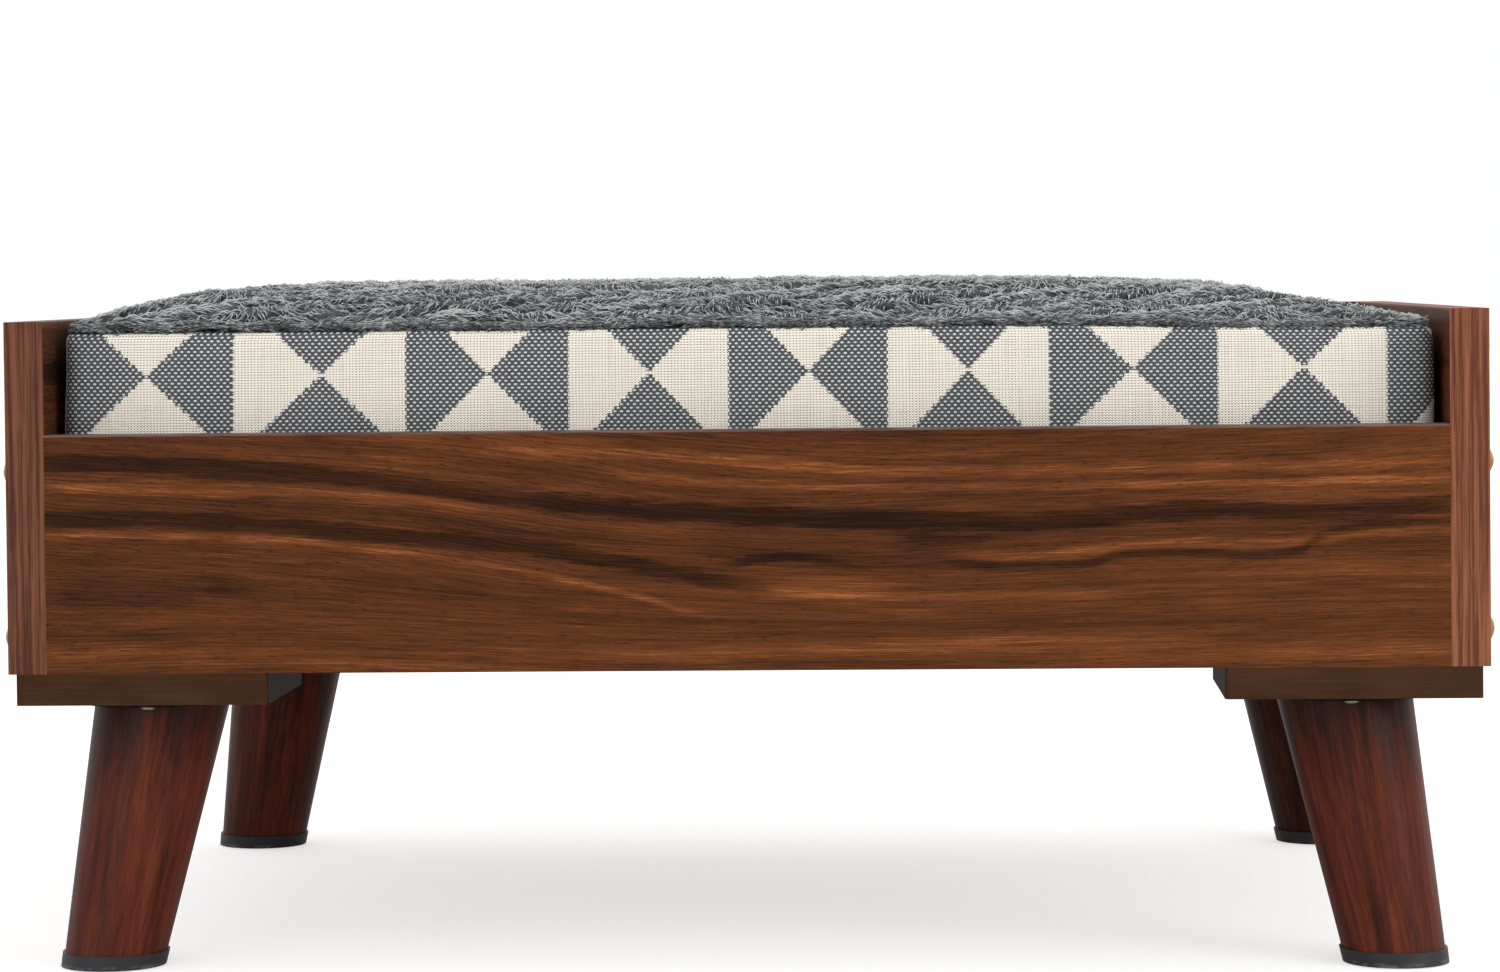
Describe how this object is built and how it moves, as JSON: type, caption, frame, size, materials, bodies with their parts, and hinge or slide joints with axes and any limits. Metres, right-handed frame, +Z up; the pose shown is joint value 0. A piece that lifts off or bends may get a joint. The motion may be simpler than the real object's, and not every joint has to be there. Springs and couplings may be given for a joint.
{
  "type": "dog bed with frame",
  "caption": "Raised pet bed: dark walnut box frame open at the front, splayed tapered legs under square corner blocks, and a lift-out foam mattress with plush top and triangle-print sides.",
  "frame": {"origin": "on the floor, under the middle of the box frame", "axes": "+X to the right seen from the front, +Y to the back, +Z up; the front rail faces -Y"},
  "size_m": [0.6144, 0.457, 0.284],
  "materials": {
    "walnut_board": "dark reddish walnut veneer, grain along the board, satin lacquer",
    "edge_band": "reddish brown wood edge banding, satin",
    "plywood": "unfinished birch plywood",
    "softwood": "planed pine, unfinished",
    "painted_block": "dark brown paint, eggshell",
    "leg_wood": "dark walnut stain, lengthwise grain, semi-gloss lacquer",
    "plate_steel": "dark bronze paint, semi-gloss",
    "bronze_screw": "bronzed steel screw heads",
    "brass_bolt": "satin brass",
    "zinc_steel": "zinc-plated steel",
    "foot_plastic": "black moulded plastic",
    "support_foam": "open-cell polyurethane foam",
    "memory_foam": "slow-recovery foam",
    "fibre_fill": "polyester fibre fill",
    "plush": "slate grey twisted plush pile",
    "canvas": "printed cotton canvas in charcoal and cream triangles",
    "base_cloth": "woven non-slip base cloth",
    "zip_tape": "woven zip tape with moulded coil",
    "zip_metal": "gunmetal-plated zinc"
  },
  "bodies": {
    "frame": {"left_side_panel": "walnut_board", "right_side_panel": "walnut_board", "front_rail": "walnut_board", "back_panel": "walnut_board", "left_panel_bands": "edge_band", "right_panel_bands": "edge_band", "front_rail_band": "edge_band", "back_panel_band": "edge_band", "deck_board": "plywood", "front_cleat": "softwood", "back_cleat": "softwood", "left_cleat": "softwood", "right_cleat": "softwood", "center_beam": "softwood", "corner_dowels": "softwood", "side_bolts": "brass_bolt", "barrel_nuts": "zinc_steel", "cleat_screws": "zinc_steel", "deck_screws": "zinc_steel", "beam_screws": "zinc_steel", "block_screws": "zinc_steel", "leg_studs": "zinc_steel", "foot_nails": "zinc_steel", "front_left_block": "painted_block", "front_left_plate": "plate_steel", "front_left_leg": "leg_wood", "front_left_foot": "foot_plastic", "front_right_block": "painted_block", "front_right_plate": "plate_steel", "front_right_leg": "leg_wood", "front_right_foot": "foot_plastic", "back_left_block": "painted_block", "back_left_plate": "plate_steel", "back_left_leg": "leg_wood", "back_left_foot": "foot_plastic", "back_right_block": "painted_block", "back_right_plate": "plate_steel", "back_right_leg": "leg_wood", "back_right_foot": "foot_plastic", "plate_screws": "bronze_screw"},
    "mattress": {"support_foam": "support_foam", "memory_foam": "memory_foam", "crown_pad": "fibre_fill", "cover_top": "plush", "cover_gusset": "canvas", "cover_base": "base_cloth", "zip_tape": "zip_tape", "zip_chain": "zip_tape"},
    "slider": {"zip_slider": "zip_metal"},
    "pull": {"zip_pull": "zip_metal"}
  },
  "joints": [
    {"name": "mattress_lift", "type": "slide", "parent": "frame", "child": "mattress", "axis": [0, 0, 1], "range_m": [0, 0.12]},
    {"name": "zip_slide", "type": "slide", "parent": "mattress", "child": "slider", "axis": [1, 0, 0], "range_m": [0, 0.38]},
    {"name": "pull_swing", "type": "hinge", "parent": "slider", "child": "pull", "pos_m": [-0.198, 0.2083, 0.2168], "axis": [0, 0, 1], "range_deg": [0, 7]}
  ]
}
